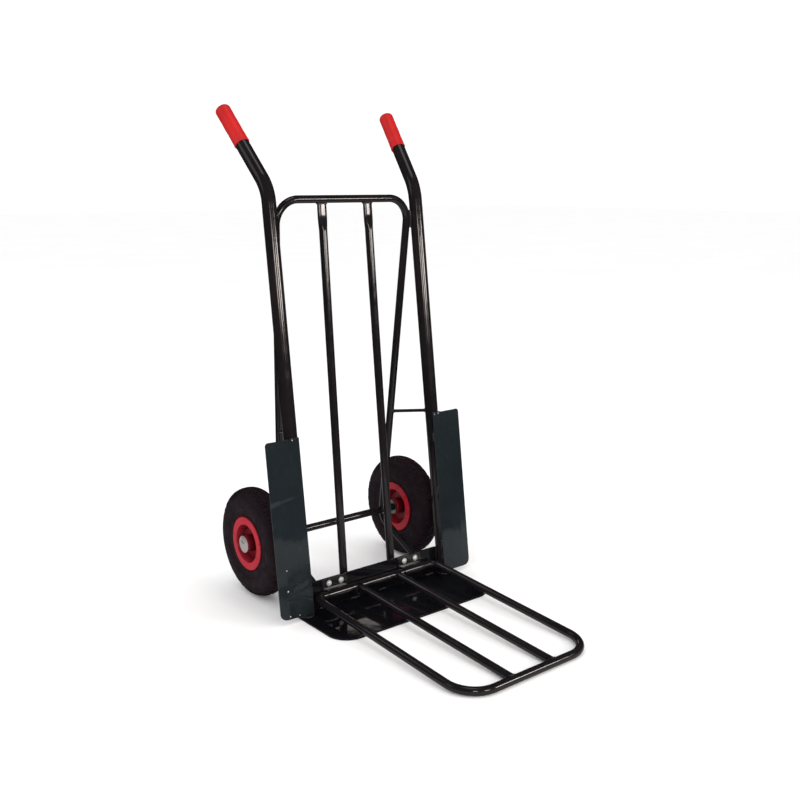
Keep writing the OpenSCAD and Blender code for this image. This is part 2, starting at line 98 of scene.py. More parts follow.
class Mat:
    """A small helper that wires up one Principled material."""

    def __init__(self, name):
        self.mat = bpy.data.materials.new(name)
        self.mat.use_nodes = True
        self.tree = self.mat.node_tree
        self.bsdf = self.tree.nodes["Principled BSDF"]
        self.coord = self.node("ShaderNodeTexCoord").outputs["Object"]
        self.normal = None

    def node(self, kind, **values):
        """A shader node, with its properties or input values set by name."""
        n = self.tree.nodes.new(kind)
        for key, value in values.items():
            if hasattr(n, key):
                setattr(n, key, value)
            else:
                n.inputs[key].default_value = value
        return n

    def link(self, a, b):
        """Join an output socket to an input."""
        self.tree.links.new(a, b)

    def noise(self, scale, detail, rough, stretch=None, distortion=0.0):
        """Fractal noise in the object's own metres, squeezed per axis by stretch."""
        n = self.node("ShaderNodeTexNoise", Scale=scale, Detail=detail, Roughness=rough,
                      Distortion=distortion)
        source = self.coord
        if stretch:
            m = self.node("ShaderNodeMapping")
            m.inputs["Scale"].default_value = stretch
            self.link(self.coord, m.inputs["Vector"])
            source = m.outputs["Vector"]
        self.link(source, n.inputs["Vector"])
        return n.outputs["Fac"]

    def ramp(self, source, stops):
        """A colour for each value, from (value, colour) stops."""
        r = self.node("ShaderNodeValToRGB")
        e = r.color_ramp.elements
        while len(e) < len(stops):
            e.new(0.5)
        for item, (pos, col) in zip(e, stops):
            item.position = pos
            item.color = (*col, 1)
        self.link(source, r.inputs["Fac"])
        return r.outputs["Color"]

    def span(self, source, lo, hi, from_lo=0.3, from_hi=0.7):
        """A value carried from one range to another, and held at the ends."""
        m = self.node("ShaderNodeMapRange")
        m.inputs["From Min"].default_value = from_lo
        m.inputs["From Max"].default_value = from_hi
        m.inputs["To Min"].default_value = lo
        m.inputs["To Max"].default_value = hi
        self.link(source, m.inputs["Value"])
        return m.outputs["Result"]

    def mix(self, amount, tone, color):
        """A tone with a plain colour laid over it."""
        m = self.node("ShaderNodeMix", data_type="RGBA")
        # the sockets of a colour mix: factor 0, colours 6 and 7, result 2
        self.link(amount, m.inputs[0])
        self.link(tone, m.inputs[6])
        m.inputs[7].default_value = (*color, 1)
        return m.outputs[2]

    def bump(self, source, strength, distance):
        """Relief, added to whatever relief is there already."""
        b = self.node("ShaderNodeBump", Strength=strength, Distance=distance)
        self.link(source, b.inputs["Height"])
        if self.normal is not None:
            self.link(self.normal, b.inputs["Normal"])
        self.normal = b.outputs["Normal"]

    def soft_edges(self, radius):
        """Shade sharp edges as if they were rounded."""
        b = self.node("ShaderNodeBevel", samples=4, Radius=radius)
        if self.normal is not None:
            self.link(self.normal, b.inputs["Normal"])
        self.normal = b.outputs["Normal"]

    def done(self, color, rough, metallic=0.0, ior_level=0.5, coat=0.0, coat_rough=0.05, **extra):
        """The finished material, with colour, roughness and relief wired to the shader."""
        s = self.bsdf.inputs
        self.link(color, s["Base Color"])
        self.link(rough, s["Roughness"])
        s["Metallic"].default_value = metallic
        s["Specular IOR Level"].default_value = ior_level
        s["Coat Weight"].default_value = coat
        s["Coat Roughness"].default_value = coat_rough
        for key, value in extra.items():
            s[key].default_value = value
        if self.normal is not None:
            self.link(self.normal, s["Normal"])
        return self.mat


def edge_wear_and_highlight_mask(m, radius):
    """White along sharp convex edges, where paint wears thin, and as a painted highlight on them."""
    bevel = m.node("ShaderNodeBevel", samples=4, Radius=radius)
    geo = m.node("ShaderNodeNewGeometry")
    dot = m.node("ShaderNodeVectorMath", operation="DOT_PRODUCT")
    m.link(bevel.outputs["Normal"], dot.inputs[0])
    m.link(geo.outputs["Normal"], dot.inputs[1])
    return m.span(dot.outputs["Value"], 1.0, 0.0, 0.82, 0.99)


def painted_hollow_shade(m, tone, shade, reach):
    """Painted shade: darken a tone where the surface is sunk between its neighbours, as in a slot or a dish."""
    open_sky = m.node("ShaderNodeAmbientOcclusion", samples=8, Distance=reach)
    return m.mix(m.span(open_sky.outputs["AO"], 1.0, 0.0, 0.35, 0.9), tone, shade)


def enamel(name, dark, light, warm, ripple, peel):
    """Glossy enamel on steel: slow colour drift, orange peel, long ripples and rubbed patches."""
    m = Mat(name)
    drift = m.noise(9, 4, 0.55)
    tone = m.ramp(drift, [(0.3, dark), (0.7, light)])
    patch = m.span(m.noise(3.1, 2, 0.5, distortion=0.4), 0.0, 0.55, 0.45, 0.7)
    tone = m.mix(patch, tone, warm)
    specks = m.span(m.noise(620, 2, 0.6), 0.0, 1.0, 0.68, 0.76)
    tone = m.mix(specks, tone, tuple(min(1, c * 2.6) for c in light))
    scuffs = m.span(m.noise(55, 5, 0.72, stretch=(1, 1, 0.18)), 0, 1, 0.56, 0.74)
    tone = m.mix(m.span(scuffs, 0, 0.35, 0, 1), tone, tuple(c * 1.9 for c in light))
    roughness = m.span(m.noise(34, 4, 0.6), 0.09, 0.19, 0.35, 0.68)
    m.bump(m.noise(7, 1.5, 0.4), ripple, 0.01)
    m.bump(m.noise(150, 2, 0.5), peel, 0.0006)
    m.bump(m.noise(520, 2, 0.5), peel * 0.6, 0.00025)
    return m.done(tone, roughness, ior_level=0.5, coat=0.25, coat_rough=0.04)


def sheet_enamel(name, dark, light, warm, wave, rough, shine):
    """Enamel on sheet steel, with wavy reflections, and edges lightened as wear and as a painted highlight."""
    m = Mat(name)
    tone = m.ramp(m.noise(6, 4, 0.55), [(0.3, dark), (0.7, light)])
    tone = m.mix(m.span(m.noise(2.4, 2, 0.5), 0, 0.5, 0.42, 0.68), tone, warm)
    fine = m.span(m.noise(90, 6, 0.7, stretch=(1, 1, 0.35)), 0, 0.35, 0.55, 0.78)
    tone = m.mix(fine, tone, tuple(c * 1.8 for c in light))
    # edge wear and painted highlight: sharp edges lightened to grey in patches
    worn = m.node("ShaderNodeMath", operation="MULTIPLY")
    m.link(edge_wear_and_highlight_mask(m, 0.0012), worn.inputs[0])
    m.link(m.span(m.noise(120, 4, 0.65), 0.05, 0.6, 0.44, 0.68), worn.inputs[1])
    tone = m.mix(worn.outputs["Value"], tone, (0.10, 0.10, 0.105))
    roughness = m.span(m.noise(24, 4, 0.6), rough[0], rough[1], 0.35, 0.68)
    m.bump(m.noise(8, 1.2, 0.35, distortion=0.8), wave, 0.012)
    m.bump(m.noise(46, 2, 0.4), 0.06, 0.0015)
    m.bump(m.noise(420, 2, 0.5), 0.08, 0.0003)
    m.soft_edges(0.0009)
    return m.done(tone, roughness, ior_level=shine)


def bead_enamel(name):
    """Painted weld beads: the same paint, a little brighter where it is thin on the ripples."""
    m = Mat(name)
    tone = m.ramp(m.noise(170, 4, 0.65), [(0.38, (0.012, 0.011, 0.011)), (0.72, (0.045, 0.042, 0.042))])
    roughness = m.span(m.noise(260, 3, 0.6), 0.16, 0.4)
    m.bump(m.noise(380, 3, 0.6), 0.5, 0.0006)
    return m.done(tone, roughness, ior_level=0.6, coat=0.4, coat_rough=0.06)


def vinyl(name):
    """Dipped vinyl: saturated, satin and a little grimy in streaks."""
    m = Mat(name)
    tone = m.ramp(m.noise(26, 4, 0.6), [(0.3, (0.47, 0.005, 0.006)), (0.72, (0.57, 0.008, 0.008))])
    grime = m.span(m.noise(75, 5, 0.7, stretch=(1, 1, 0.4)), 0, 0.16, 0.56, 0.8)
    tone = m.mix(grime, tone, (0.36, 0.008, 0.008))
    roughness = m.span(m.noise(48, 3, 0.6), 0.36, 0.5, 0.35, 0.68)
    m.bump(m.noise(60, 2, 0.5), 0.12, 0.0010)
    m.bump(m.noise(900, 2, 0.6), 0.14, 0.00015)
    return m.done(tone, roughness, ior_level=0.3, **{"Subsurface Weight": 0.05, "Subsurface Scale": 0.004})


def moulded_red(name):
    """Moulded red plastic with dust on it, and painted shade darkening the dish round the hub."""
    m = Mat(name)
    tone = m.ramp(m.noise(20, 4, 0.6), [(0.3, (0.36, 0.004, 0.016)), (0.72, (0.48, 0.007, 0.026))])
    dust = m.span(m.noise(130, 5, 0.7), 0, 0.10, 0.54, 0.8)
    tone = m.mix(dust, tone, (0.40, 0.06, 0.08))
    # painted shade: the dish and the gap round the hub darkened to near black
    tone = painted_hollow_shade(m, tone, (0.06, 0.001, 0.003), 0.05)
    roughness = m.span(m.noise(60, 4, 0.6), 0.24, 0.42, 0.35, 0.68)
    m.bump(m.noise(700, 2, 0.6), 0.14, 0.0002)
    m.bump(m.noise(40, 2, 0.4), 0.08, 0.0012)
    return m.done(tone, roughness, ior_level=0.35, coat=0.1, coat_rough=0.12)


def rubber(name, worn):
    """Moulded rubber, slightly purple, dusty where it is worn."""
    m = Mat(name)
    tone = m.ramp(m.noise(30, 5, 0.62), [(0.3, (0.010, 0.0035, 0.0070)), (0.72, (0.018, 0.0075, 0.013))])
    dust = m.span(m.noise(85, 6, 0.72), 0, worn, 0.5, 0.78)
    tone = m.mix(dust, tone, (0.046, 0.028, 0.038))
    roughness = m.span(m.noise(70, 4, 0.6), 0.46, 0.7, 0.35, 0.68)
    m.bump(m.noise(950, 2, 0.6), 0.35, 0.0003)
    m.bump(m.noise(120, 3, 0.55), 0.12, 0.0008)
    return m.done(tone, roughness, ior_level=0.2)


def plated(name, low, high, rough, metallic, grain, stain):
    """Bright plated or turned metal with fine grain and slight cloudiness, and painted shade in its slots and
    recesses.
    """
    m = Mat(name)
    tone = m.ramp(m.noise(95, 4, 0.6), [(0.3, low), (0.72, high)])
    stained = m.span(m.noise(260, 5, 0.7), 0, stain, 0.56, 0.8)
    tone = m.mix(stained, tone, tuple(c * 0.55 for c in low))
    # painted shade: slots and recesses darkened to near black
    tone = painted_hollow_shade(m, tone, tuple(c * 0.03 for c in low), 0.004)
    roughness = m.span(m.noise(grain, 3, 0.6), rough[0], rough[1])
    m.bump(m.noise(grain * 3, 2, 0.5), 0.4 * stain, 0.0002)
    return m.done(tone, roughness, metallic=metallic, ior_level=0.5)


M = {
    "black_paint": enamel("black_enamel", (0.006, 0.0052, 0.0062), (0.012, 0.0105, 0.012),
                          (0.017, 0.012, 0.013), 0.05, 0.08),
    "slate_paint": sheet_enamel("slate_enamel", (0.009, 0.013, 0.015), (0.014, 0.019, 0.022),
                                (0.016, 0.018, 0.019), 0.40, (0.05, 0.10), 0.5),
    # the toe and cross plates: the black enamel darkened further, a painted shade
    "plate_paint": sheet_enamel("plate_enamel_shaded", (0.0030, 0.0032, 0.0045), (0.0055, 0.0058, 0.0075),
                                (0.0070, 0.0068, 0.0080), 0.03, (0.03, 0.05), 0.2),
    "red_vinyl": vinyl("dipped_vinyl"),
    "red_rim": moulded_red("rim_plastic"),
    "zinc": plated("zinc_plate", (0.56, 0.56, 0.56), (0.78, 0.78, 0.77), (0.2, 0.36),
                   metallic=0.5, grain=220, stain=0.15),
    "chrome": plated("bright_cap", (0.52, 0.44, 0.43), (0.66, 0.57, 0.56), (0.16, 0.26),
                     metallic=0.6, grain=60, stain=0.06),
    "steel": plated("turned_steel", (0.30, 0.30, 0.31), (0.48, 0.48, 0.49), (0.28, 0.46),
                    metallic=1.0, grain=140, stain=0.3),
    "tyre_rubber": rubber("tyre_side_rubber", 0.15),
    "tube_rubber": rubber("butyl_rubber", 0.1),
    "tread": rubber("tyre_tread_rubber", 0.45),
    "bead": bead_enamel("painted_weld"),
}

slots = {s["node"]: s["material_slot"] for s in frame["record"]["subparts"]}
for node_name, obj in nodes.items():
    for material_slot in obj.material_slots:
        material_slot.material = M[slots[node_name]]
# the two big plates mirror more smoothly than the wheel guards, and are a darker copy of the black enamel, the
# extra darkness a painted shade
for node_name in ("toe_plate", "cross_plate"):
    for material_slot in nodes[node_name].material_slots:
        material_slot.material = M["plate_paint"]


# ---------- mesh helpers ----------

def make(name, verts, faces, material, body, angle=40):
    """A piece from verts and faces, smooth except at edges sharper than angle, on its body and slot."""
    mesh = bpy.data.meshes.new(name)
    mesh.from_pydata([tuple(v) for v in verts], [], faces)
    bm = bmesh.new()
    bm.from_mesh(mesh)
    bmesh.ops.remove_doubles(bm, verts=bm.verts, dist=1e-6)
    bmesh.ops.recalc_face_normals(bm, faces=bm.faces)
    limit = math.radians(angle)
    for f in bm.faces:
        f.smooth = True
    for e in bm.edges:
        if len(e.link_faces) == 2:
            e.smooth = e.calc_face_angle(0.0) < limit
    bm.to_mesh(mesh)
    bm.free()
    mesh.materials.append(material)
    obj = bpy.data.objects.new(name, mesh)
    bpy.context.scene.collection.objects.link(obj)
    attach(obj, body)
    return obj


def frame_of(axis):
    """Two unit vectors across a direction."""
    axis = axis.normalized()
    side = axis.cross(X if abs(axis.x) < 0.9 else Vector((0, 1, 0))).normalized()
    return side, axis.cross(side).normalized()


def sweep(rings, closed=False):
    """Verts and faces of a skin over equal rings of points, capped or closed round."""
    verts = [p for ring in rings for p in ring]
    n = len(rings[0])
    faces = []
    last = len(rings) if closed else len(rings) - 1
    for i in range(last):
        a, b = i * n, ((i + 1) % len(rings)) * n
        for k in range(n):
            faces.append((a + k, a + (k + 1) % n, b + (k + 1) % n, b + k))
    if not closed:
        faces.append(tuple(reversed(range(n))))
        faces.append(tuple(range((len(rings) - 1) * n, len(rings) * n)))
    return verts, faces


def lathe(name, profile, at, axis, material, body):
    """A turned piece: profile of (radius, height) along axis from a point."""
    axis = axis.normalized()
    u, v = frame_of(axis)
    segments = 96
    rings = []
    for r, h in profile:
        ring = []
        for k in range(segments):
            a = 2 * math.pi * k / segments
            ring.append(at + axis * h + (u * math.cos(a) + v * math.sin(a)) * max(r, 1e-5))
        rings.append(ring)
    verts, faces = sweep(rings)
    return make(name, verts, faces, material, body)


RIPPLE_PITCH = 0.0022       # distance from one ripple of a weld bead to the next


def weld(path, width, height=None, closed=False, seed=0):
    """Verts and faces of a bead along a path of (point, outward) pairs: a row of overlapping ripples."""
    height = height or width * 0.42
    pts = []
    for i in range(len(path) - (0 if closed else 1)):
        (a, na), (b, nb) = path[i], path[(i + 1) % len(path)]
        steps = max(1, round((b - a).length / (RIPPLE_PITCH / 4)))
        for s in range(steps):
            t = s / steps
            pts.append((a.lerp(b, t), na.lerp(nb, t).normalized()))
    if not closed:
        pts.append((path[-1][0], path[-1][1].normalized()))
    rings, run = [], 0.0
    count = len(pts)
    for i, (p, out) in enumerate(pts):
        q = pts[(i + 1) % count][0] if closed or i < count - 1 else p
        o = pts[i - 1][0] if closed or i > 0 else p
        along = (q - o).normalized()
        side = along.cross(out).normalized()
        if i:
            run += (p - pts[i - 1][0]).length
        ripple = 0.5 + 0.5 * math.cos(2 * math.pi * run / RIPPLE_PITCH)
        wob = noise.noise(p * 260 + Vector((seed, 0, 0)))
        fade = 1.0 if closed else min(1.0, 0.35 + 2.2 * min(i, count - 1 - i) / max(count * 0.5, 8))
        w = width * (0.9 + 0.12 * ripple + 0.16 * wob) * fade / 2
        h = height * (0.85 + 0.2 * ripple + 0.22 * wob) * fade
        ring = []
        for k in range(8):
            a = 2 * math.pi * k / 8
            ring.append(p + side * (w * math.cos(a)) + out * (h * math.sin(a)))
        rings.append(ring)
    return sweep(rings, closed=closed)


def join(parts):
    """Several (verts, faces) as one."""
    verts, faces = [], []
    for v, f in parts:
        base = len(verts)
        verts += v
        faces += [tuple(i + base for i in face) for face in f]
    return verts, faces


def mirrored(part):
    """The same verts and faces on the other side of the truck."""
    verts, faces = part
    return [Vector((-v.x, v.y, v.z)) for v in verts], [tuple(reversed(f)) for f in faces]


def circle_path(at, axis, radius, steps=36):
    """Points round an axis, with outward directions that lean along the axis."""
    axis = axis.normalized()
    u, v = frame_of(axis)
    path = []
    for k in range(steps):
        a = 2 * math.pi * k / steps
        radial = u * math.cos(a) + v * math.sin(a)
        path.append((at + radial * radius, (radial + axis * 0.35).normalized()))
    return path


def spot(at, out, size, seed=0):
    """A round tack or spatter drop."""
    out = out.normalized()
    u, v = frame_of(out)
    rings = []
    for h, r in ((-0.25, 0.98), (0.1, 1.0), (0.34, 0.86), (0.52, 0.55), (0.6, 0.18)):
        ring = []
        for k in range(10):
            a = 2 * math.pi * k / 10
            wob = 1 + 0.16 * noise.noise(Vector((math.cos(a) * 2, math.sin(a) * 2, seed * 3.1 + h)))
            ring.append(at + (u * math.cos(a) + v * math.sin(a)) * size * r * wob + out * size * h)
        rings.append(ring)
    return sweep(rings)


# ---------- tyres ----------

LUG = 0.0016                # height of the tread blocks
SECTION_MID = (RIM_R + TYRE_R) / 2
SECTION_RISE = (TYRE_R - RIM_R) / 2
SECTION_POWER = 2.4         # 2 is an ellipse; higher is squarer
SHOULDER = 1.0              # section angle where the tread ends
LIP = 2.0                   # section angle where the sidewall meets the bead
EASE_FROM = 0.82            # section angle where the skin under the tread starts to rise
EASE_OVER = 0.22            # and the angle it takes to do so
SIDE_SINK = 0.0005          # how far the plain sidewall lies inside the section
TYRE_STEPS = 144
PITCHES = 36                # tread blocks repeat this often round the tyre
# The blocks of one pitch: corners as (turn in pitches, part of the way from crown to shoulder), and draft
BLOCKS = (
    (((0.05, 0.03), (0.72, 0.03), (1.02, 0.36), (0.35, 0.36)), 0.08),
    (((0.40, 0.41), (0.88, 0.41), (0.92, 0.80), (0.46, 0.80)), 0.10),
    (((1.00, 0.41), (1.28, 0.41), (1.28, 0.72), (1.04, 0.70)), 0.10),
)
# Raised rings on the sidewall: section angle, height and width
SIDE_RINGS = ((1.86, 0.0008, 0.045), (1.62, 0.0004, 0.02), (1.30, 0.0006, 0.025))


def section(t):
    """The tyre's outline at angle t, 0 at the crown: radius, x and the outward direction."""
    c, s = math.cos(t), math.sin(t)
    up = math.copysign(abs(c) ** (2 / SECTION_POWER), c)
    out = math.copysign(abs(s) ** (2 / SECTION_POWER), s)
    normal = Vector((math.copysign(abs(up) ** (SECTION_POWER - 1), c) / SECTION_RISE,
                     math.copysign(abs(out) ** (SECTION_POWER - 1), s) / (TYRE_W / 2))).normalized()
    return SECTION_MID + SECTION_RISE * up, TYRE_W / 2 * out, normal.x, normal.y


def tyre_profile():
    """Outer skin from bead over the crown to the other bead, as (radius, x from the centre plane)."""
    side = [(RIM_R - 0.0130, 0.0228), (RIM_R - 0.0010, 0.0232), (RIM_R + 0.0008, 0.0255),
            (RIM_R + 0.0024, 0.0268), (RIM_R + 0.0050, 0.0270), (RIM_R + 0.0066, 0.0262),
            (RIM_R + 0.0100, 0.0270)]
    steps = 64
    for k in range(steps + 1):
        t = LIP * (1 - k / steps)
        r, x, out_r, out_x = section(t)
        # the skin sinks under the tread blocks, and eases up to full size beside them
        ease = min(1.0, max(0.0, (t - EASE_FROM) / EASE_OVER))
        lift = -LUG * (1 - ease) - SIDE_SINK * ease
        lift += sum(h * math.exp(-((t - at) / w) ** 2) for at, h, w in SIDE_RINGS)
        side.append((r + out_r * lift, x + out_x * lift))
    return side + [(r, -x) for r, x in reversed(side[:-1])]


def crown(s):
    """The tread's surface at s from -1 to 1, shoulder to shoulder, as section() gives it."""
    return section(s * SHOULDER)


def tread_block(corners, depth, draft):
    """One tread block over a patch whose corners are (turn, s): a raised lug with drafted sides."""
    (a0, s0), (a1, s1), (a2, s2), (a3, s3) = corners
    nu, nv = 3, 5

    def place(u, v, lift, inset):
        """A point of the patch at u, v from 0 to 1, sunk by lift and drawn in by inset."""
        u = 0.5 + (u - 0.5) * (1 - inset)
        v = 0.5 + (v - 0.5) * (1 - inset * 0.7)
        a = (a0 * (1 - u) + a1 * u) * (1 - v) + (a3 * (1 - u) + a2 * u) * v
        s = (s0 * (1 - u) + s1 * u) * (1 - v) + (s3 * (1 - u) + s2 * u) * v
        r, x, nr, nx = crown(s)
        r -= nr * lift
        x -= nx * lift
        return Vector((x, r * math.cos(a), r * math.sin(a)))

    verts, faces = [], []
    # foot, start of the rounded top edge, and top, as (sunk by, drawn in by)
    levels = [(depth, 0.0), (0.0005, draft), (0.0, draft + 0.06)]
    outline = [(i / nu, 0) for i in range(nu)] + [(1, j / nv) for j in range(nv)] \
        + [(1 - i / nu, 1) for i in range(nu)] + [(0, 1 - j / nv) for j in range(nv)]
    n = len(outline)
    for lift, inset in levels:
        for u, v in outline:
            verts.append(place(u, v, lift, inset))
    for lv in range(len(levels) - 1):
        for k in range(n):
            faces.append((lv * n + k, lv * n + (k + 1) % n, (lv + 1) * n + (k + 1) % n, (lv + 1) * n + k))
    # the top is a grid, so that it follows the crown
    grid = {}
    base = len(verts)
    top_inset = levels[-1][1]
    for i in range(nu + 1):
        for j in range(nv + 1):
            grid[i, j] = base + len(grid)
            verts.append(place(i / nu, j / nv, 0.0, top_inset))
    for i in range(nu):
        for j in range(nv):
            faces.append((grid[i, j], grid[i + 1, j], grid[i + 1, j + 1], grid[i, j + 1]))
    faces.append(tuple(reversed(range(n))))
    return verts, faces


def tyre(side, sign):
    """A carcass turned about the axle, and its tread blocks in two mirrored, staggered rows."""
    c = Vector((sign * WHEEL.x, WHEEL.y, WHEEL.z))
    profile = tyre_profile()
    rings = []
    for k in range(TYRE_STEPS):
        a = 2 * math.pi * k / TYRE_STEPS
        rings.append([c + Vector((x, r * math.cos(a), r * math.sin(a))) for r, x in profile])
    verts, faces = sweep(rings, closed=True)
    carcass = make("tyre_carcass_" + side, verts, faces, M["tyre_rubber"], side + "_wheel")

    step = 2 * math.pi / PITCHES
    parts = []
    for k in range(PITCHES):
        for m in (-1, 1):
            turn = k + (0.5 if m > 0 else 0)
            for corners, draft in BLOCKS:
                patch = [((turn + a) * step, m * s) for a, s in corners]
                parts.append(tread_block(patch, LUG + 0.0003, draft))
    verts, faces = join(parts)
    verts = [v + c for v in verts]
    make("tyre_tread_" + side, verts, faces, M["tread"], side + "_wheel", angle=28)
    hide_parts("tyre_" + side)


for side, sign in SIDES:
    tyre(side, sign)


# ---------- grips ----------

def handle_axis(sign):
    """The direction in which a handle points."""
    level = math.sin(HANDLE_BEND)
    d = Vector((level * math.sin(HANDLE_SPLAY), level * math.cos(HANDLE_SPLAY), math.cos(HANDLE_BEND)))
    d = Matrix.Rotation(-LEAN, 3, "X") @ d
    return Vector((sign * d.x, d.y, d.z))


def grip(side, sign):
    """A dipped grip with a rolled lip, a slight swell and a rounded end, coaxial with its CAD solid."""
    axis = handle_axis(sign)
    u, v = frame_of(axis)
    reach = []
    for d in (u, v, axis):
        along = [p.dot(d) for p in points("grip_" + side)]
        reach.append((min(along), max(along)))
    (u_lo, u_hi), (v_lo, v_hi), (lo, hi) = reach
    base = u * (u_lo + u_hi) / 2 + v * (v_lo + v_hi) / 2 + axis * lo
    rad = (u_hi - u_lo) / 2
    length = hi - lo
    lip = 0.0052                # where the rolled lip ends
    prof = [(rad - 0.0017, 0.0), (rad - 0.0007, 0.0001), (rad + 0.0002, 0.0008),
            (rad + 0.0006, 0.0022), (rad + 0.0005, 0.0038), (rad - 0.0001, lip)]
    swells = 26
    for k in range(1, swells):
        t = k / swells
        prof.append((rad - 0.0001 + 0.00015 * math.sin(t * math.pi * 5), lip + t * (length - 0.0075 - lip)))
    end_r = 0.0068              # rounding of the end
    for k in range(9):
        a = k / 8 * math.pi / 2
        prof.append((rad - end_r + end_r * math.cos(a), length - end_r + end_r * math.sin(a)))
    prof.append(((rad - end_r) * 0.5, length + 0.0003))
    prof.append((0.0004, length + 0.0005))
    obj = lathe("grip_cover_" + side, prof, base, axis, M["red_vinyl"], "frame")
    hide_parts("grip_" + side)


for side, sign in SIDES:
    grip(side, sign)


# ---------- load bars with pressed-flat tops ----------

BAR_D = 0.019               # the round bar
FLAT_W = 0.0232             # its pressed top, across and deep
FLAT_T = 0.0095
PRESS_START = 0.072         # below the head: where the pressing starts, and where it is flat
PRESS_END = 0.036


def load_bar(side, sign):
    """A round bar whose top is pressed flat where it meets the crossbar."""
    foot = Vector((sign * BAR_FOOT.x, BAR_FOOT.y, BAR_FOOT.z))
    head = Vector((sign * BAR_HEAD.x, BAR_HEAD.y, BAR_HEAD.z))
    axis = (head - foot).normalized()
    across = (X - axis * axis.x).normalized()
    deep = axis.cross(across).normalized()
    length = (head - foot).length
    n = 40
    rings = []

    def ring(h, w, t):
        """A section w wide and t deep at height h, squarer the flatter it is."""
        pts = []
        for k in range(n):
            a = 2 * math.pi * k / n
            ca, sa = math.cos(a), math.sin(a)
            p = 2.0 + 1.4 * min(1, max(0, (w - t) / 0.012))
            x = math.copysign(abs(ca) ** (2 / p), ca) * w / 2
            y = math.copysign(abs(sa) ** (2 / p), sa) * t / 2
            pts.append(foot + axis * h + across * x + deep * y)
        return pts

    for h in (0.0093, 0.010, 0.03, 0.2, 0.4, 0.6, 0.75, length - 0.085, length - PRESS_START):
        rings.append(ring(h, BAR_D, BAR_D))
    steps = 12
    for k in range(1, steps + 1):
        t = k / steps
        s = t * t * (3 - 2 * t)
        h = length - PRESS_START + t * (PRESS_START - PRESS_END)
        rings.append(ring(h, BAR_D + (FLAT_W - BAR_D) * s, BAR_D + (FLAT_T - BAR_D) * s))
    for below in (0.030, 0.020, 0.0075):
        rings.append(ring(length - below, FLAT_W, FLAT_T))
    verts, faces = sweep(rings)
    obj = make("load_bar_shaped_" + side, verts, faces, M["black_paint"], "frame")
    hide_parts("load_bar_" + side)


for side, sign in SIDES:
    load_bar(side, sign)


# ---------- weld beads ----------

# Arcs of a bead round a tube, as (start, turn) from the host tube's direction
UPPER_ARC = (-0.35, math.pi + 0.7)
SIDE_ARCS = ((-0.35, 1.05), (math.pi - 0.70, 1.05))


def tee(at, axis, radius, host_axis, host_r, width, height, arc=None, seed=0):
    """A bead where a tube leaves a round host tube along axis: it follows the saddle, or an arc of it."""
    axis = axis.normalized()
    u = host_axis.normalized()
    v = u.cross(axis).normalized()
    if v.z < 0:
        v = -v
    start, turn = arc or (0.0, 2 * math.pi)
    steps = round(turn * 7)
    path = []
    for k in range(steps + 1 if arc else steps):
        a = start + turn * k / steps
        across = min(abs(math.sin(a) * radius), host_r * 0.97)
        rise = math.sqrt(host_r * host_r - across * across)
        radial = u * math.cos(a) + v * math.sin(a)
        path.append((at + radial * (radius + 0.0003) + axis * (rise + 0.0004),
                     (radial + axis * 0.5).normalized()))
    return weld(path, width, height, closed=arc is None, seed=seed)


def line_weld(a, b, out, width, height=None, seed=0):
    """A straight bead from a to b."""
    out = out.normalized()
    return weld([(a, out), (b, out)], width, height, seed=seed)


def bar_welds():
    """Load bar to crossbar, front, back and both edges, and to the lower cross tube."""
    y = BAR_HEAD.y
    z = CROSSBAR.z - BRACE_R - 0.0008
    face = FLAT_T / 2 - 0.00015
    edge = FLAT_W / 2 + 0.0001
    parts = []
    for k, off in enumerate((-face, face)):
        a = Vector((BAR_HEAD.x - edge + 0.0005, y + off, z))
        b = Vector((BAR_HEAD.x + edge - 0.0005, y + off, z))
        parts.append(line_weld(a, b, Vector((0, math.copysign(1, off), -0.5)), 0.0052, seed=k))
    for s in (-1, 1):
        a = Vector((BAR_HEAD.x + s * edge, y - 0.0050, z))
        b = Vector((BAR_HEAD.x + s * edge, y + 0.0040, z))
        parts.append(line_weld(a, b, Vector((s, 0, -0.6)), 0.0045, seed=5 + s))
    parts.append(tee(Vector((BAR_FOOT.x, lower_tube.y, lower_tube.z)), BAR_HEAD - BAR_FOOT,
                     BAR_D / 2, X, BRACE_R, 0.0060, 0.0026, seed=9))
    return parts


def guard_welds():
    """Guard to side tube: short stitches up the inner face and two runs on the top edge."""
    stitch = 0.022
    top = 0.4112
    parts = []
    for k, up in enumerate((0.070, 0.205, 0.340)):
        a = on_lean(TUBE_X - 0.0110, -0.0135, up)
        b = on_lean(TUBE_X - 0.0110, -0.0135, up + stitch)
        parts.append(line_weld(a, b, FRONT * 0.2 - X, 0.0042, seed=20 + k))
    for k, (x0, x1) in enumerate(((-0.0105, -0.0015), (0.003, 0.0125))):
        a = on_lean(TUBE_X + x0, -0.0170, top)
        b = on_lean(TUBE_X + x1, -0.0170, top)
        parts.append(line_weld(a, b, UP, 0.0044, 0.0020, seed=30 + k))
    return parts


def foot_weld():
    """Side tube to toe plate."""
    foot = on_lean(TUBE_X, 0, 0.004 / math.cos(LEAN))
    path = circle_path(Vector((TUBE_X, foot.y, 0.0042)), Z, TUBE_R + 0.0006)
    return weld(path, 0.0036, 0.0014, closed=True, seed=40)


BRACE_X = 0.187             # the brace's legs, from the truck's middle
BRACE_CORNER = 0.055        # radius of its upper corners
BRACE_SLOPE = 0.0808        # how far a leg runs back for each unit down


def brace_side(z):
    """Centre of the right brace leg near its upper corner, at height z."""
    drop = CROSSBAR.z - z
    inward = BRACE_CORNER - math.sqrt(max(BRACE_CORNER ** 2 - max(BRACE_CORNER - drop, 0) ** 2, 0))
    return Vector((BRACE_X - inward, CROSSBAR.y + BRACE_SLOPE * drop, z))


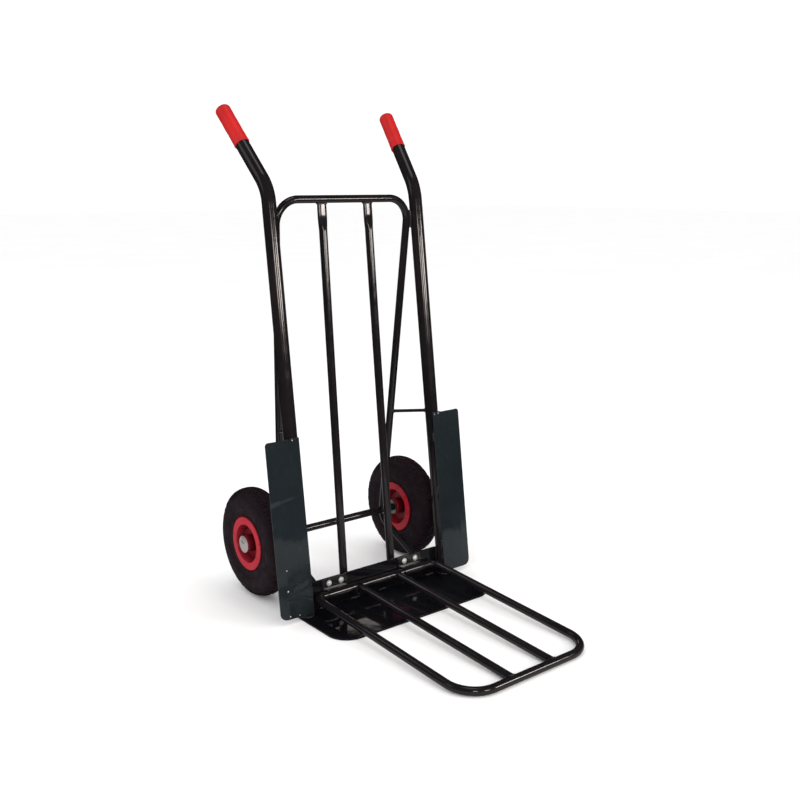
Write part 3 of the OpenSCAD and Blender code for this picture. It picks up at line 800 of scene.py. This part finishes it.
def brace_welds():
    """Brace to side tube: a bead in the crevice on each side of where the two tubes touch."""
    low, high = 0.858, 0.900
    steps = 8
    parts = []
    for face in (-1, 1):
        path = []
        for k in range(steps + 1):
            z = low + (high - low) * k / steps
            tube = Vector((TUBE_X, z * math.tan(LEAN), z))
            leg = brace_side(z)
            toward = (tube - leg).normalized()
            touch = leg + toward * BRACE_R
            out = toward.cross(Z).normalized() * face
            path.append((touch + out * 0.0048, out))
        parts.append(weld(path, 0.0080, 0.0024, seed=45 + face))
    return parts


def stay_welds():
    """Stay to brace leg and to side tube."""
    end = Vector((TUBE_X - 0.006, 0.064, 0.411))
    axis = (end - STAY_START).normalized()
    bead_r = 0.0042
    first = circle_path(STAY_START + axis * 0.0072, axis, bead_r, steps=20)
    last = circle_path(end - axis * 0.0048, -axis, bead_r, steps=20)
    return [weld(first, 0.0030, closed=True, seed=50), weld(last, 0.0030, closed=True, seed=51)]


def plate_welds():
    """Cross plate to toe plate, in five runs, and to the side tubes."""
    foot_y = on_lean(0, 0.010, 0.004).y - 0.0006
    half_run = 0.013
    parts = []
    for k, x in enumerate((-0.150, -0.062, 0.020, 0.092, 0.168)):
        a = Vector((x - half_run, foot_y, 0.0044))
        b = Vector((x + half_run, foot_y, 0.0044))
        parts.append(line_weld(a, b, Vector((0, -0.6, 0.8)), 0.0046, seed=60 + k))
    for sign in (-1, 1):
        a = on_lean(sign * (TUBE_X - 0.0126), 0.0098, 0.018)
        b = on_lean(sign * (TUBE_X - 0.0126), 0.0098, 0.066)
        parts.append(line_weld(a, b, FRONT - X * sign * 0.6, 0.0044, seed=70 + sign))
    return parts


def extension_welds():
    """Inner bars of the extension to its rear and front bars."""
    drop = math.asin((hinge.z - EXT_R) / EXT_LEN)
    along = Vector((0, -math.cos(drop), -math.sin(drop)))
    width, height = 0.0032, 0.0014
    parts = []
    for k, x in enumerate((-EXT_INNER, EXT_INNER)):
        rear = Vector((x, hinge.y, hinge.z))
        front = rear + along * EXT_LEN
        # only at the sides: folded up, the top of this joint lies close to the cross plate
        for arc in SIDE_ARCS:
            parts.append(tee(rear, along, EXT_R, X, EXT_R, width, height, arc, seed=80 + k))
        parts.append(tee(front, -along, EXT_R, X, EXT_R, width, height, UPPER_ARC, seed=90 + k))
    return parts


def spatter():
    """Bright drops on the sheet steel: weld spatter, made bright as painted glints on the welds: (x, height up the
    tubes, size).
    """
    drops = ((-0.257, 0.122, 0.0016), (-0.258, 0.075, 0.0022), (-0.258, 0.018, 0.0018),
             (-0.234, 0.015, 0.0016), (-0.213, 0.408, 0.0018), (0.200, 0.407, 0.0016),
             (0.212, 0.408, 0.0020))
    return [spot(on_lean(x, -TUBE_R - 0.0020, up), FRONT, size, seed=k)
            for k, (x, up, size) in enumerate(drops)]


lower_tube = centre("lower_cross_tube")
right_side = bar_welds() + guard_welds() + [foot_weld()] + brace_welds() + stay_welds()
frame_beads = right_side + [mirrored(part) for part in right_side] + plate_welds()
for name, parts, material, body in (
        ("frame_welds", frame_beads, M["bead"], "frame"),
        ("extension_welds", extension_welds(), M["bead"], "toe_extension"),
        # spatter drops in bright zinc: painted glints on the welds
        ("weld_spatter_glints", spatter(), M["zinc"], "frame")):
    verts, faces = join(parts)
    make(name, verts, faces, material, body, angle=60)


# ---------- stage, light and camera ----------

def floor_material(name, low, high):
    """A matt, slightly uneven grey."""
    m = Mat(name)
    tone = m.ramp(m.noise(1.2, 3, 0.5), [(0.3, (low, low, low)), (0.7, (high, high, high))])
    rough = m.span(m.noise(6, 3, 0.5), 0.75, 0.85)
    return m.done(tone, rough, ior_level=0.1)


def plane(name, size, turn, z, material):
    """A level rectangle centred under the object, turned about Z."""
    w, d = size[0] / 2, size[1] / 2
    rotation = Matrix.Rotation(turn, 3, "Z")
    corners = [rotation @ Vector((x, y, 0)) + Z * z for x, y in ((-w, -d), (w, -d), (w, d), (-w, d))]
    mesh = bpy.data.meshes.new(name)
    mesh.from_pydata([tuple(c) for c in corners], [], [(0, 1, 2, 3)])
    mesh.materials.append(material)
    obj = bpy.data.objects.new(name, mesh)
    bpy.context.scene.collection.objects.link(obj)
    return obj


floor = plane("floor", (60, 60), 0, 0.0, floor_material("pale_floor", 0.96, 0.98))
floor.visible_glossy = False
# What the paint mirrors of the floor: a smaller, darker patch of it
mirrored_floor = plane("floor_reflected", (2.0, 3.4), math.radians(-30), 0.0004,
                       floor_material("floor_in_reflections", 0.26, 0.34))
mirrored_floor.visible_camera = False
mirrored_floor.visible_diffuse = False
mirrored_floor.visible_shadow = False
mirrored_floor.visible_transmission = False

world = bpy.data.worlds.new("studio")
bpy.context.scene.world = world
world.use_nodes = True
background = world.node_tree.nodes["Background"]
background.inputs["Color"].default_value = (1, 1, 1, 1)
background.inputs["Strength"].default_value = 1.08
world.cycles_visibility.glossy = False

LIGHTS_AIM = Vector((0, 0.05, 0.55))


def softbox(name, azimuth, elevation, distance, width, height, radiance, color):
    """A rectangular light around the object: azimuth 0 is in front of the toe, 90 on the +X side."""
    a, e = math.radians(azimuth), math.radians(elevation)
    direction = Vector((math.sin(a) * math.cos(e), -math.cos(a) * math.cos(e), math.sin(e)))
    data = bpy.data.lights.new(name, "AREA")
    data.shape = "RECTANGLE"
    data.size, data.size_y = width, height
    data.energy = radiance * math.pi * width * height
    data.color = color
    obj = bpy.data.objects.new(name, data)
    obj.location = LIGHTS_AIM + direction * distance
    obj.rotation_mode = "QUATERNION"
    obj.rotation_quaternion = (-direction).to_track_quat("-Z", "Y")
    obj.visible_camera = False
    bpy.context.scene.collection.objects.link(obj)


WARM = (1.0, 0.90, 0.84)
PALE = (1.0, 0.97, 0.95)
softbox("key_right", 34, 11, 3.4, 0.7, 0.45, 20.0, WARM)
softbox("key_middle", 4, 11, 3.4, 0.7, 0.45, 16.0, WARM)
softbox("key_left", -26, 12, 3.4, 0.6, 0.45, 12.0, WARM)
softbox("rear_high", -155, 38, 3.6, 1.4, 1.0, 1.1, (0.94, 0.96, 1.0))
softbox("rear_low", 146, 15, 3.1, 0.80, 0.30, 1.6, WARM)
softbox("fill_left", -105, 28, 3.4, 1.4, 1.4, 0.6, (0.96, 0.98, 1.0))
softbox("top", 10, 82, 3.4, 1.4, 1.4, 1.2, PALE)

# The camera stands in front and towards -X, about a metre up, and looks slightly down
camera_data = bpy.data.cameras.new("camera")
camera_data.sensor_width = 36.0
camera_data.lens = 44.79
camera_data.shift_x = -0.0020
camera_data.shift_y = -0.0153
camera_data.clip_end = 200
camera = bpy.data.objects.new("camera", camera_data)
bpy.context.scene.collection.objects.link(camera)
yaw, pitch, roll = math.radians(38.627), math.radians(-11.66), math.radians(0.053)
look = Vector((math.sin(yaw) * math.cos(pitch), math.cos(yaw) * math.cos(pitch), math.sin(pitch)))
camera_right = Vector((math.cos(yaw), -math.sin(yaw), 0))
camera_up = camera_right.cross(look)
right_axis = camera_right * math.cos(roll) + camera_up * math.sin(roll)
up_axis = camera_up * math.cos(roll) - camera_right * math.sin(roll)
turned = Matrix((right_axis, up_axis, -look)).transposed()
camera.matrix_world = Matrix.Translation((-1.3534, -1.7805, 0.9652)) @ turned.to_4x4()
bpy.context.scene.camera = camera
bpy.context.scene.view_settings.view_transform = "Standard"
